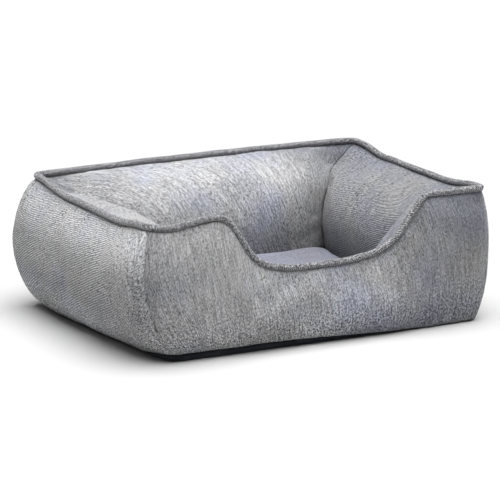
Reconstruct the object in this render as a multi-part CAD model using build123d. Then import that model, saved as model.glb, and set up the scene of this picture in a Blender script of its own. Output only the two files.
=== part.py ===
from build123d import *
import math
import os
from dataclasses import dataclass

import numpy as np

os.makedirs("parts", exist_ok=True)

# ---------------------------------------------------------------- driving dimensions (mm)
# The bed rests on z = 0, centred on x = y = 0. Its low entry side faces -Y.
RIM_HALF_X = 310.0          # centre of the bed to the piping on an end wall
RIM_HALF_Y = 216.5          # centre of the bed to the piping on the front and back walls
RIM_Z = 229.0               # centreline of the piping at the corners and along the back
SIDE_RIM_Z = 216.0          # the end walls sag between their corners
ENTRY_Z = 134.0             # lowest point of the piping at the entry
PIPING_RADIUS = 5.5
PIPING_WALL = 1.2           # fabric around the cord
CORD_GAP = 0.15             # between the cord and its sleeve
PIPING_DROP = PIPING_RADIUS + 0.8   # piping centreline down to the panels' top edge

END_DEPTH = 122.0           # piping line to the upright inner face of an end wall
SIDE_DEPTH = 110.0          # the same for the front and back walls
MIDDLE_BULGE = 34.0         # how far a wall swells out past its piping
CORNER_BULGE = 18.0
BULGE_REACH = 150.0         # distance from a corner over which the bulge grows
LOW_WALL_SWELL = 0.4        # share of the bulge that a very low wall still has
SWELL_EASE = 0.8            # below 1, so the widest place is a little under mid height
FOOT_EASE = 1.5             # how quickly the inset of the foot dies out upwards
RIM_OUT = 2.0               # outer panel's top edge, outwards of the piping centreline
RIM_IN = 0.4                # inner panel's top edge, inwards of it
SHOULDER_SHARE = 0.42       # share of a wall's height below which its inner face is upright
CROWN_POWER = 2.5           # superellipse power of the crown between rim and shoulder
LINE_POINTS = 8             # points that a curved face's line is drawn through

PANEL = 1.6                 # upholstery fabric with its backing
FILL_GAP = 0.9              # between a panel and the filling behind it
FILL_TOP_OUT = 1.6          # the filling's top edge, before its gap, outwards of the piping
FILL_TOP_IN = 0.9           # and inwards of it

BASE_MARGIN = 9.0           # the base is this much inside the piping line
BASE_CORNER = 42.0          # corner radius of the base
LEAST_REACH = 4.0           # the foot's corner arc is followed no closer to its end than this
BASE_HEIGHT = 13.0          # height of the turned-up base cloth
BASE_CLOTH = 1.2
LINING = 1.0
LAYER_GAP = 0.4             # between stacked layers of the base
WALL_FOOT = 14.4            # where the wall panels are sewn to the base

CUSHION_END_GAP = 1.5       # cushion to an end wall
CUSHION_SIDE_GAP = 6.0      # cushion to the front and back walls, room for the zip
CUSHION_FOOT = 14.6
CUSHION_TOP = 80.0
CUSHION_EDGE = 72.0         # height of the boxing's upper seam
CUSHION_CORNER = 28.0
COVER = 1.0                 # cushion cover fabric
COVER_GAP = 0.3

ZIP_LENGTH = 300.0
ZIP_TAPE_HEIGHT = 26.0
ZIP_TAPE = 0.6
ZIP_Z = 41.0
COIL_WIDTH = 5.0
COIL_HEIGHT = 2.0
SLIDER_LENGTH = 12.0
SLIDER_WIDTH = 9.0
SLIDER_TOP = 1.2            # thickness of the slider's plate
SLIDER_CLEARANCE = 0.3
STOP_LENGTH = 2.4

# ---------------------------------------------------------------- the rim line
ENTRY_POINTS = [            # right half of the entry, (x, z), from the middle outwards
    (60.0, ENTRY_Z),
    (132.0, 147.0),
    (200.0, RIM_Z),
]
ENTRY_RADII = [250.0, 85.0, 26.0]
SAG_START = 196.0           # along an end wall, where its rim starts to sag
SAG_END = 125.0
SAG_RADIUS = 75.0
SAMPLES = 400


def mirrored(points):
    """The points of a right half with their mirror images, in order from left to right."""
    return [(-x, z) for x, z in reversed(points)] + points


def rim_path(points, radii):
    """Rim of one wall as (along the wall, height): straight runs joined by tangent arcs."""
    return FilletPolyline(*mirrored(points), radius=list(reversed(radii)) + radii)


front_rim = rim_path(ENTRY_POINTS + [(RIM_HALF_X, RIM_Z)], ENTRY_RADII)
side_rim = rim_path(
    [(SAG_END, SIDE_RIM_Z), (SAG_START, RIM_Z), (RIM_HALF_Y, RIM_Z)],
    [SAG_RADIUS, SAG_RADIUS],
)
back_rim = Line((-RIM_HALF_X, RIM_Z), (RIM_HALF_X, RIM_Z))


def panel_top_along(rim):
    """A function that gives the height of the panels' top edge, close under the piping."""
    along = []
    heights = []
    for i in range(SAMPLES + 1):
        spot = rim @ (i / SAMPLES)
        tangent = rim % (i / SAMPLES)
        along.append(spot.X + PIPING_DROP * tangent.Y)
        heights.append(spot.Y - PIPING_DROP * tangent.X)
    return lambda s: float(np.interp(s, along, heights))


# ---------------------------------------------------------------- wall sections
def smooth_step(share):
    share = min(1.0, max(0.0, share))
    return share * share * (3.0 - 2.0 * share)


def corner_inset(to_corner):
    """How far the rounded base corner pulls the foot of a wall in, near the wall's end."""
    reach = BASE_CORNER - max(LEAST_REACH, min(BASE_CORNER, to_corner))
    return BASE_CORNER - math.sqrt(BASE_CORNER**2 - reach**2)


def outer_line(top, to_corner):
    """Outer face of a wall from its foot to its top edge, as (outwards, height) points."""
    foot = -BASE_MARGIN - corner_inset(to_corner)
    swell = CORNER_BULGE + (MIDDLE_BULGE - CORNER_BULGE) * smooth_step(to_corner / BULGE_REACH)
    tall = (top - WALL_FOOT) / (RIM_Z - WALL_FOOT)
    swell *= LOW_WALL_SWELL + (1.0 - LOW_WALL_SWELL) * tall
    points = []
    for i in range(LINE_POINTS):
        share = i / (LINE_POINTS - 1)
        out = foot * (1.0 - share) ** FOOT_EASE + swell * math.sin(math.pi * share**SWELL_EASE)
        points.append((out + RIM_OUT * share, WALL_FOOT + share * (top - WALL_FOOT)))
    return points


def crown_line(top, depth):
    """Inner face of a wall from its top edge over the crown to the shoulder."""
    shoulder = WALL_FOOT + SHOULDER_SHARE * (top - WALL_FOOT)
    points = []
    for i in range(LINE_POINTS):
        angle = 0.5 * math.pi * i / (LINE_POINTS - 1)
        across = math.sin(angle) ** (2.0 / CROWN_POWER)
        up = max(0.0, math.cos(angle)) ** (2.0 / CROWN_POWER)
        out = -RIM_IN - (depth - RIM_IN) * across
        points.append((out, shoulder + (top - shoulder) * up))
    points[-1] = (-depth, shoulder)
    return points


def inset(points, distance):
    """The same line moved sideways into the wall: to the left of its direction."""
    moved = []
    for i, (u, z) in enumerate(points):
        before = points[max(0, i - 1)]
        after = points[min(len(points) - 1, i + 1)]
        run = (after[0] - before[0], after[1] - before[1])
        length = math.hypot(*run)
        moved.append((u - distance * run[1] / length, z + distance * run[0] / length))
    return moved


def outline(place, pieces):
    """A face from (outwards, height) lines; a line of two points is straight."""
    edges = []
    for points in pieces:
        spots = [place(u, z) for u, z in points]
        edges.append(Edge.make_line(*spots) if len(spots) == 2 else Edge.make_spline(spots))
    return Face(Wire(edges))


def outer_panel_section(place, top, to_corner, depth):
    skin = outer_line(top, to_corner)
    back = inset(skin, PANEL)[::-1]
    return outline(place, [skin, [skin[-1], back[0]], back, [back[-1], skin[0]]])


def inner_panel_section(place, top, to_corner, depth):
    skin = crown_line(top, depth)
    back = inset(skin, PANEL)[::-1]
    skin_foot = (-depth, WALL_FOOT)
    back[0] = (-depth + PANEL, skin[-1][1])
    back_foot = (-depth + PANEL, WALL_FOOT)
    return outline(place, [
        skin,
        [skin[-1], skin_foot],
        [skin_foot, back_foot],
        [back_foot, back[0]],
        back,
        [back[-1], skin[0]],
    ])


def fill_section(place, top, to_corner, depth):
    behind = PANEL + FILL_GAP
    outer = inset(outer_line(top, to_corner), behind)
    crown = inset(crown_line(top, depth), behind)
    crown[-1] = (-depth + behind, crown[-1][1])
    foot_z = WALL_FOOT + FILL_GAP
    outer[0] = (outer[0][0], foot_z)
    outer[-1] = (FILL_TOP_OUT - behind, outer[-1][1] - behind)
    crown[0] = (-FILL_TOP_IN - behind, outer[-1][1])
    foot = (-depth + behind, foot_z)
    return outline(place, [
        outer,
        [outer[-1], crown[0]],
        crown,
        [crown[-1], foot],
        [foot, outer[0]],
    ])


# ---------------------------------------------------------------- walls
# Sections are drawn at these distances from a wall's middle, closer where its rim turns.
END_REACH = 45.0            # walls are lofted this far past the rim's corner, then mitred
SIDE_STATIONS = [END_REACH + RIM_HALF_Y, 236.0, 211.0, 186.0, 156.0, 120.0, 82.0, 41.0]
BACK_STATIONS = [END_REACH + RIM_HALF_X, 330.0, 305.0, 280.0, 250.0, 215.0, 172.0, 129.0, 86.0, 43.0]
FRONT_STATIONS = [END_REACH + RIM_HALF_X, 330.0, 305.0, 280.0, 255.0, 233.0, 214.0, 198.0, 184.0,
                  170.0, 155.0, 138.0, 118.0, 96.0, 72.0, 48.0, 24.0]
WEDGE_INWARDS = 1.2         # a wall's mitre runs this many depths inwards
MITRE_GAP = 0.35            # sets the gap between two walls at their corner seam
WEDGE_HEIGHT = 260.0


def station_places(stations):
    return [-s for s in stations] + [0.0] + stations[::-1]


def wall_place(wall, along):
    """A function that turns (outwards from the rim, height) on a wall into a point."""
    angle = math.radians(wall.turn)
    outwards = Vector(math.sin(angle), -math.cos(angle), 0)
    sideways = Vector(math.cos(angle), math.sin(angle), 0)

    def place(out, height):
        return outwards * (wall.rim_distance + out) + sideways * along + Vector(0, 0, height)

    return place


@dataclass
class Wall:
    turn: float             # 0 faces -Y, 90 faces +X
    rim_distance: float
    half_length: float
    depth: float
    next_depth: float       # depth of the walls that it meets at its ends
    stations: list
    rim: object


WALLS = {
    "front": Wall(0, RIM_HALF_Y, RIM_HALF_X, SIDE_DEPTH, END_DEPTH, FRONT_STATIONS, front_rim),
    "right": Wall(90, RIM_HALF_X, RIM_HALF_Y, END_DEPTH, SIDE_DEPTH, SIDE_STATIONS, side_rim),
    "back": Wall(180, RIM_HALF_Y, RIM_HALF_X, SIDE_DEPTH, END_DEPTH, BACK_STATIONS, back_rim),
    "left": Wall(270, RIM_HALF_X, RIM_HALF_Y, END_DEPTH, SIDE_DEPTH, SIDE_STATIONS, side_rim),
}


def mitre_wedge(wall, inwards, outwards, gap):
    """The plan of one wall between its corner seams, as a tall block to intersect with."""
    half = [
        (wall.half_length + outwards - gap, outwards),
        (wall.half_length - gap, 0.0),
        (wall.half_length - inwards * wall.next_depth - gap, -inwards * wall.depth),
    ]
    corners = half + [(-along, out) for along, out in reversed(half)]
    spots = [wall_place(wall, along)(out, 0) for along, out in corners]
    return extrude(Face(Wire.make_polygon(spots, close=True)), WEDGE_HEIGHT, dir=(0, 0, 1))


def build_wall(section, wall):
    panel_top = panel_top_along(wall.rim)
    faces = []
    for along in station_places(wall.stations):
        place = wall_place(wall, along)
        to_corner = wall.half_length - abs(along)
        faces.append(section(place, panel_top(along), to_corner, wall.depth))
    return loft(faces) & mitre_wedge(wall, WEDGE_INWARDS, 2 * END_REACH, MITRE_GAP)


LAYERS = {
    "outer_panel": outer_panel_section,
    "inner_panel": inner_panel_section,
    "bolster_fill": fill_section,
}


def walls():
    parts = {}
    for name, wall in WALLS.items():
        for layer, section in LAYERS.items():
            parts[f"{layer}_{name}"] = build_wall(section, wall)
    return parts


# ---------------------------------------------------------------- piping
PIPING_LEAD = 12.0          # straight run past each end, cut off by the mitre


def piping_run(wall, radius):
    """A round bar along one wall's rim, mitred at the rim's corners."""
    origin = wall_place(wall, 0)(0, 0)
    sideways = wall_place(wall, 1)(0, 0) - origin
    plane = Plane(origin=origin, x_dir=sideways, z_dir=sideways.cross(Vector(0, 0, 1)))
    path = plane * wall.rim
    lead = sideways * PIPING_LEAD
    wire = Wire([
        Edge.make_line(path @ 0 - lead, path @ 0),
        *path.edges(),
        Edge.make_line(path @ 1, path @ 1 + lead),
    ])
    ring = Plane(origin=wire @ 0, z_dir=sideways) * Circle(radius)
    corner_square = Wall(
        wall.turn, wall.rim_distance, wall.half_length, PIPING_LEAD, PIPING_LEAD, [], None
    )
    return sweep(ring, path=wire) & mitre_wedge(corner_square, 1.0, PIPING_LEAD, 0.0)


def piping_loop(radius):
    runs = [piping_run(wall, radius) for wall in WALLS.values()]
    return runs[0] + runs[1:]


def piping():
    hollow = PIPING_RADIUS - PIPING_WALL
    return {
        "rim_piping": piping_loop(PIPING_RADIUS) - piping_loop(hollow),
        "rim_piping_cord": piping_loop(hollow - CORD_GAP),
    }


# ---------------------------------------------------------------- base
def rounded_slab(half_x, half_y, corner, low, high):
    plan = Pos(0, 0, low) * RectangleRounded(2 * half_x, 2 * half_y, corner)
    return extrude(plan, high - low)


def base():
    half_x = RIM_HALF_X - BASE_MARGIN
    half_y = RIM_HALF_Y - BASE_MARGIN

    def slab(margin, low, high):
        return rounded_slab(half_x - margin, half_y - margin, BASE_CORNER - margin, low, high)

    lining_low = BASE_HEIGHT - LINING
    side_margin = BASE_CLOTH + LAYER_GAP
    tray = slab(0, 0, BASE_HEIGHT) - slab(BASE_CLOTH, BASE_CLOTH, BASE_HEIGHT + 1)
    return {
        "base_cloth": tray,
        "base_pad": slab(side_margin, BASE_CLOTH + LAYER_GAP, lining_low - LAYER_GAP),
        "floor_lining": slab(side_margin, lining_low, BASE_HEIGHT),
    }


# ---------------------------------------------------------------- cushion
CUSHION_HALF_X = RIM_HALF_X - END_DEPTH - CUSHION_END_GAP
CUSHION_HALF_Y = RIM_HALF_Y - SIDE_DEPTH - CUSHION_SIDE_GAP
DOME = [                    # the domed top's rings: (distance in from the edge, share of the rise)
    (0.0, 0.0),
    (16.0, 0.66),
    (46.0, 1.0),
]
CORNER_LOSS = 0.4           # how much smaller a dome ring's corner radius gets per mm inwards
LEAST_CORNER = 6.0
SEAM_OVERLAP = 1.0          # the top panel's hollow starts this far below its seam, to open it
SEAM_GAP = 0.1


def cushion_block(margin, low, edge, top):
    """The cushion's body with its domed top, shrunk sideways by margin."""
    half_x = CUSHION_HALF_X - margin
    half_y = CUSHION_HALF_Y - margin
    corner = CUSHION_CORNER - margin
    block = rounded_slab(half_x, half_y, corner, low, edge)
    if top <= edge:
        return block
    rings = []
    for inwards, rise in DOME:
        ring_corner = max(LEAST_CORNER, corner - CORNER_LOSS * inwards)
        plan = RectangleRounded(2 * (half_x - inwards), 2 * (half_y - inwards), ring_corner)
        rings.append(Pos(0, 0, edge + rise * (top - edge)) * plan)
    return block + loft(rings, ruled=True)


def cushion():
    floor = CUSHION_FOOT + COVER
    top_skin = cushion_block(0, CUSHION_EDGE, CUSHION_EDGE + 0.01, CUSHION_TOP)
    top_hollow = cushion_block(
        COVER, CUSHION_EDGE - SEAM_OVERLAP, CUSHION_EDGE, CUSHION_TOP - COVER
    )
    boxing = cushion_block(0, floor + SEAM_GAP, CUSHION_EDGE - SEAM_GAP, 0)
    boxing -= cushion_block(COVER, floor, CUSHION_EDGE, 0)
    return {
        "cushion_top_panel": top_skin - top_hollow,
        "cushion_boxing": boxing,
        "cushion_bottom_panel": cushion_block(0, CUSHION_FOOT, floor, 0),
        "cushion_fill": cushion_block(
            COVER + COVER_GAP, floor + COVER_GAP, CUSHION_EDGE - COVER_GAP,
            CUSHION_TOP - COVER - COVER_GAP,
        ),
    }


# ---------------------------------------------------------------- zip on the cushion's rear boxing
TAPE_BACK = CUSHION_HALF_Y + 0.1
TAPE_FACE = TAPE_BACK + ZIP_TAPE
TAPE_END = 10.0             # tape past each end of the zip
COIL_BACK = TAPE_FACE + 0.05
COIL_FACE = COIL_BACK + COIL_HEIGHT
COIL_TO_STOP = 1.0
PARKED = 6.0                # the parked slider's distance from its stop
SLIDER_START = -0.5 * ZIP_LENGTH + STOP_LENGTH + 0.5 * SLIDER_LENGTH + PARKED
SLIDER_CORNER = 1.5
STOP_STANDS_OUT = 0.4       # past the coil's face
STOP_OVERLAP = 0.7          # past the coil's width on each side


def bar(x_middle, x_length, y_low, y_high, z_middle, z_height):
    middle = (x_middle, 0.5 * (y_low + y_high), z_middle)
    return Pos(*middle) * Box(x_length, y_high - y_low, z_height)


def zip_parts():
    end = 0.5 * ZIP_LENGTH
    coil_half = end - STOP_LENGTH - COIL_TO_STOP
    stops = []
    for side in (-1, 1):
        stop = bar(side * (end - 0.5 * STOP_LENGTH), STOP_LENGTH, COIL_BACK,
                   COIL_FACE + STOP_STANDS_OUT, ZIP_Z, COIL_WIDTH + 2 * STOP_OVERLAP)
        stops.append(stop)
    plate_low = COIL_FACE + SLIDER_CLEARANCE
    shell = bar(SLIDER_START, SLIDER_LENGTH, TAPE_FACE + SLIDER_CLEARANCE,
                plate_low + SLIDER_TOP, ZIP_Z, SLIDER_WIDTH)
    channel = bar(SLIDER_START, SLIDER_LENGTH + 2, TAPE_FACE, plate_low,
                  ZIP_Z, COIL_WIDTH + 2 * SLIDER_CLEARANCE)
    slider = fillet(shell.edges().filter_by(Axis.Y), SLIDER_CORNER) - channel
    tape_length = ZIP_LENGTH + 2 * TAPE_END
    return {
        "zip_tape": bar(0, tape_length, TAPE_BACK, TAPE_FACE, ZIP_Z, ZIP_TAPE_HEIGHT),
        "zip_coil": bar(0, 2 * coil_half, COIL_BACK, COIL_FACE, ZIP_Z, COIL_WIDTH),
        "zip_stops": Compound(children=stops),
        "zip_slider": slider,
    }


# ---------------------------------------------------------------- write every node
def main():
    nodes = {}
    nodes.update(walls())
    nodes.update(piping())
    nodes.update(base())
    nodes.update(cushion())
    nodes.update(zip_parts())
    for name, shape in nodes.items():
        export_step(shape, f"parts/{name}.step")
    print(len(nodes), "nodes")


main()
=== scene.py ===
import math
from dataclasses import dataclass
from typing import Callable

import bmesh
import bpy
import numpy as np
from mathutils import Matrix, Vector, noise


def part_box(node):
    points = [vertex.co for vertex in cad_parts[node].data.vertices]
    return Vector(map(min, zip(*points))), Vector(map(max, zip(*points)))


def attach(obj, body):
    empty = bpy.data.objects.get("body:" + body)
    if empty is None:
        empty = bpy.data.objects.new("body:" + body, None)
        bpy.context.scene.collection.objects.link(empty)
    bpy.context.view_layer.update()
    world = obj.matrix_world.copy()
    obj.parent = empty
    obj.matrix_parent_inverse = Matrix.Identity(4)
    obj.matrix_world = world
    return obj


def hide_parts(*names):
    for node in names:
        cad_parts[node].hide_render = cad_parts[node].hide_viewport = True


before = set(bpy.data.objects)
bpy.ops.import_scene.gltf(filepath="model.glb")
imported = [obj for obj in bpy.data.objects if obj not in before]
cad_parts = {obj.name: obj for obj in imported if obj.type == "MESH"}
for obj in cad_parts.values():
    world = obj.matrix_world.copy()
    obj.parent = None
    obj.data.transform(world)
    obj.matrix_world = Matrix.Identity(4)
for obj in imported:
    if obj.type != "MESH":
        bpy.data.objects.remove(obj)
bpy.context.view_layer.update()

MM = 0.001

# ---- sizes, from the frame
PIPING_RADIUS = 5.5 * MM
rim_low, rim_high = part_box("rim_piping")
RIM_X = rim_high.x - PIPING_RADIUS
RIM_Y = rim_high.y - PIPING_RADIUS
RIM_Z = rim_high.z - PIPING_RADIUS
ENTRY_Z = rim_low.z + PIPING_RADIUS
END_DEPTH = RIM_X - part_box("inner_panel_right")[0].x
SIDE_DEPTH = RIM_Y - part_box("inner_panel_back")[0].y
BASE_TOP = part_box("base_cloth")[1].z
CUSHION_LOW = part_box("cushion_bottom_panel")[0]
CUSHION_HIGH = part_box("cushion_top_panel")[1]

# ---- shape of the walls
BASE_CORNER = 26.0 * MM         # corner radius of the dark base
BASE_MARGIN = 9.0 * MM          # the base is this far inside the piping
MIDDLE_POWER = 2.6              # how squarely a bow runs out to the corners
RIM_CORNER = 5.0 * MM           # corner radius of the piping in plan

SWELL_HEIGHT_POWER = 0.95       # a wall's outer swell is widest just below half its height
SWELL_POWER = 0.65              # the lower, the fuller the swell
LOW_SWELL = 0.25                # share of the swell that stays where a wall is lowest
MARGIN_POWER = 1.5              # how soon the inset of a corner's foot fades upwards
CORNER_PINCH = 1.6 * MM         # how far the outer corner seams pull in
CORNER_PINCH_REACH = 6.0 * MM
RIM_DROP = 4.6 * MM             # panels meet this far below the middle of the piping
PANEL_THICKNESS = 1.5 * MM
DROOPED = 3.0 * MM              # height of a panel's foot where the cloth hangs over the base
FRONT_FOOT_BLEND = (-0.25, 0.95)    # start and span, along the front, of its foot's way down
LEFT_FOOT_BLEND = (0.6, 0.4)        # the same, of the left end's foot on its way up

LEAN_SLOPE = 0.1                # how far the left end's foot moves in per length forwards
LEAN_BACK = 140.0 * MM          # the lean starts here, towards the back
LEAN_START = 150.0 * MM         # only the left end leans: from here to the left, over the span
LEAN_SPAN = 120.0 * MM
LEAN_TOP_SHARE = 0.75           # share of the rim's height where the lean has faded out
LEAN_POWER = 1.6

CROWN_SHARE = 0.68              # share of an inner face that goes over the rounded crown
CROWN_POWER = 2.15              # 2 would be an ellipse; higher is squarer
ENTRY_POWER = 1.22              # the same in the entry, where the crown is nearly a slope
ENTRY_POWER_RISE = 0.9          # and how much it rises beside the entry
ENTRY_HALF = 185.0 * MM
ENTRY_BLEND = 70.0 * MM
SHOULDER_SHARE = 0.42           # share of a wall's height where its inner face turns upright
REACH_POWER = 0.9               # how soon an inner face reaches its depth
SWELL_END = 0.84                # share of an inner face where its swell over the cushion ends
FULLNESS = 4.0 * MM             # extra filling in the middle of a full-height wall
FULL_HEIGHT = (0.14, 0.06)      # start and span of the heights that count as full, in metres
CORNER_POWER = 8                # how closely a corner's own shape keeps to the corner
RIM_SHARE = 0.2                 # share of an inner face that still follows the rounded rim

CREASE_DEPTH = 32.0 * MM        # how far the inner corner seams pull in
CREASE_REACH = 16.0 * MM
END_CREASE_REACH = 32.0 * MM    # the same, on the bolsters of the two ends
POCKET = 22.0 * MM              # extra reach of a crease close under the piping
CREASE_SHIFT = 5.0 * MM         # the ends' bolsters press the creases towards the middle
CREASE_SHIFT_REACH = 55.0 * MM
CREASE_LEAN = 25.0 * MM         # extra shift close under the piping
CREASE_START = 0.07             # share of an inner face where a crease has its full depth
CREASE_EASING = 0.45            # share of the depth that it loses on its way to the foot
CREASE_POWER = 1.3
UNDER_PIPING = 0.4              # share of an inner face that counts as under the piping

OUTER_ROWS = 30
INNER_ROWS = 38
UNDER_ROWS = 8
LONG_COLUMNS = 86
SHORT_COLUMNS = 62
RING_ROWS = OUTER_ROWS + INNER_ROWS + UNDER_ROWS
OUTER_SEAM_HOLD = 0.35          # how firmly the outer corner seams are held as the walls fill
FILL_CAP = 7.0 * MM             # no point moves further than this while a cover fills


# ---- small helpers
def smooth_step(value, start=0.0, span=1.0):
    """0 up to start, 1 from start + span on, and smooth between them."""
    share = min(1.0, max(0.0, (value - start) / span))
    return share * share * (3.0 - 2.0 * share)


ARC_STEPS = 24


def rounded_run(points, radii):
    """Straight runs joined by tangent arcs, as a dense list of (along, height) points."""
    spots = [np.array(point, float) for point in points]
    line = [spots[0]]
    for before, corner, after, radius in zip(spots, spots[1:], spots[2:], radii):
        back = (before - corner) / np.linalg.norm(before - corner)
        ahead = (after - corner) / np.linalg.norm(after - corner)
        half = 0.5 * math.acos(float(np.clip(back @ ahead, -1, 1)))
        middle = (back + ahead) / np.linalg.norm(back + ahead)
        centre = corner + middle * radius / math.sin(half)
        first = corner + back * radius / math.tan(half) - centre
        last = corner + ahead * radius / math.tan(half) - centre
        turn = math.pi - 2 * half
        for step in range(ARC_STEPS + 1):
            share = step / ARC_STEPS
            spot = first * math.sin((1 - share) * turn) + last * math.sin(share * turn)
            line.append(centre + spot / math.sin(turn))
    line.append(spots[-1])
    return np.array(line)


def new_object(name, data):
    thing = bpy.data.objects.new(name, data)
    bpy.context.scene.collection.objects.link(thing)
    return thing


def new_mesh(name, points, faces):
    mesh = bpy.data.meshes.new(name)
    mesh.from_pydata([tuple(point) for point in points], [], [tuple(face) for face in faces])
    mesh.update()
    mesh.shade_smooth()
    return new_object(name, mesh)


def grid_faces(columns, rows):
    """Quads of a grid of points, listed column by column."""
    faces = []
    for column in range(columns - 1):
        for row in range(rows - 1):
            here = column * rows + row
            faces.append((here, here + rows, here + rows + 1, here + 1))
    return faces


def band_faces(rings, count, closed=False):
    """Quads between neighbouring rings of `count` points, the last and first ring too if closed."""
    faces = []
    for ring in range(rings if closed else rings - 1):
        following = (ring + 1) % rings
        for index in range(count):
            beside = (index + 1) % count
            faces.append((ring * count + index, ring * count + beside,
                          following * count + beside, following * count + index))
    return faces


def last_cap(rings, count):
    return tuple(range((rings - 1) * count, rings * count))


def tube_faces(rings, count):
    """An open band of quads with a cap on each end."""
    first_cap = tuple(reversed(range(count)))
    return band_faces(rings, count) + [first_cap, last_cap(rings, count)]


def coordinates(mesh):
    flat = np.zeros(len(mesh.vertices) * 3)
    mesh.vertices.foreach_get("co", flat)
    return flat.reshape(-1, 3)


def set_coordinates(mesh, points):
    mesh.vertices.foreach_set("co", np.asarray(points, float).ravel())
    mesh.update()


def apply_modifiers(piece):
    graph = bpy.context.evaluated_depsgraph_get()
    mesh = bpy.data.meshes.new_from_object(piece.evaluated_get(graph))
    old = piece.data
    name = old.name
    piece.modifiers.clear()
    piece.data = mesh
    bpy.data.meshes.remove(old)
    mesh.name = name


# ---- rim heights
ENTRY_RIGHT = [(62 * MM, ENTRY_Z), (134 * MM, ENTRY_Z + 15 * MM), (199 * MM, RIM_Z + 1.5 * MM),
               (RIM_X, RIM_Z)]
ENTRY_LEFT = [(-RIM_X, RIM_Z), (-268 * MM, RIM_Z - 5 * MM), (-174 * MM, RIM_Z + 8 * MM),
              (-116 * MM, ENTRY_Z + 14 * MM), (-50 * MM, ENTRY_Z)]
LEFT_RADII = [60 * MM, 40 * MM, 72 * MM, 230 * MM]
RIGHT_RADII = [260 * MM, 88 * MM, 24 * MM]
FRONT_LINE = rounded_run(ENTRY_LEFT + ENTRY_RIGHT, LEFT_RADII + RIGHT_RADII)
SAG = 10.5 * MM                 # the rim of the two ends is this much lower in the middle
SAG_BLEND = (0.45, 0.5)         # start and span of its way up to the corners
BACK_BOW = 3.5 * MM             # the rim of the back is this much higher in the middle


def front_height(along):
    return float(np.interp(along, FRONT_LINE[:, 0], FRONT_LINE[:, 1]))


def end_height(along):
    return RIM_Z - SAG * (1 - smooth_step(abs(along) / RIM_Y, *SAG_BLEND))


def back_height(along):
    share = abs(along) / RIM_X
    return RIM_Z + BACK_BOW * (1 - share ** 2)


# ---- walls as one closed ring
@dataclass
class Corner:
    """The outside of a corner, where two walls meet."""

    swell: float                    # how far it swells out
    swell_radius: float             # its plan radius where it swells most
    margin: float                   # how far inside the piping its foot stands
    foot_radius: float
    foot: float                     # height of its foot
    rim_radius: float = RIM_CORNER


FRONT_LEFT = Corner(swell=26 * MM, swell_radius=42 * MM, margin=8 * MM, foot_radius=24 * MM,
                    foot=BASE_TOP + 0.5 * MM, rim_radius=15 * MM)
FRONT_RIGHT = Corner(swell=13 * MM, swell_radius=16 * MM, margin=4 * MM, foot_radius=12 * MM,
                     foot=DROOPED)
BACK_RIGHT = Corner(swell=17 * MM, swell_radius=34 * MM, margin=8 * MM, foot_radius=22 * MM,
                    foot=DROOPED)
BACK_LEFT = Corner(swell=41 * MM, swell_radius=36 * MM, margin=8 * MM, foot_radius=18 * MM,
                   foot=DROOPED)


@dataclass
class Wall:
    name: str
    turn: float                     # the way it faces: 0 is the front, in radians
    distance: float                 # from the middle of the bed to its rim
    half: float                     # half its length, at the rim
    inner: tuple                    # its inner face's depth and swell
    next_inner: tuple               # the same, of the walls beside it
    columns: int
    height: Callable                # the rim's height along it
    corners: tuple
    bulge: float                    # how far its middle swells out
    foot_bow: float                 # how far its foot bows out in the middle

    def place(self, along, out, height):
        sideways = np.array([math.cos(self.turn), math.sin(self.turn), 0.0])
        outwards = np.array([math.sin(self.turn), -math.cos(self.turn), 0.0])
        return sideways * along + outwards * (self.distance + out) + np.array([0.0, 0.0, height])

    def between_corners(self, measure, sigma):
        """A measure of the wall's two corners, blended along it."""
        first, last = (getattr(corner, measure) for corner in self.corners)
        return first + (last - first) * (0.5 + 0.5 * sigma)


END_INNER = (END_DEPTH, 11 * MM)        # depth at the foot, and extra swell above the cushion
SIDE_INNER = (SIDE_DEPTH, 2 * MM)

WALLS = [
    Wall("front", 0.0, RIM_Y, RIM_X, SIDE_INNER, END_INNER, LONG_COLUMNS, front_height,
         (FRONT_LEFT, FRONT_RIGHT), bulge=20 * MM, foot_bow=7 * MM),
    Wall("right", 0.5 * math.pi, RIM_X, RIM_Y, END_INNER, SIDE_INNER, SHORT_COLUMNS, end_height,
         (FRONT_RIGHT, BACK_RIGHT), bulge=29 * MM, foot_bow=3 * MM),
    Wall("back", math.pi, RIM_Y, RIM_X, SIDE_INNER, END_INNER, LONG_COLUMNS, back_height,
         (BACK_RIGHT, BACK_LEFT), bulge=31 * MM, foot_bow=3 * MM),
    Wall("left", 1.5 * math.pi, RIM_X, RIM_Y, END_INNER, SIDE_INNER, SHORT_COLUMNS, end_height,
         (BACK_LEFT, FRONT_LEFT), bulge=42 * MM, foot_bow=3 * MM),
]


def foot_height(wall, sigma):
    """The cover ends just above the turned-up base, or droops over it."""
    first, last = wall.corners
    if wall.name == "front":
        return first.foot + (last.foot - first.foot) * smooth_step(sigma, *FRONT_FOOT_BLEND)
    if wall.name == "left":
        return first.foot + (last.foot - first.foot) * smooth_step(sigma, *LEFT_FOOT_BLEND)
    return DROOPED


def rounded_end(half, out, radius, sigma):
    """Along and outwards on a straight run that ends in an eighth of a circle."""
    straight = half + out - radius
    travel = abs(sigma) * (straight + radius * math.pi / 4)
    along = travel
    if travel > straight:
        angle = (travel - straight) / radius
        along = straight + radius * math.sin(angle)
        out -= radius * (1 - math.cos(angle))
    return math.copysign(along, sigma), out


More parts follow.
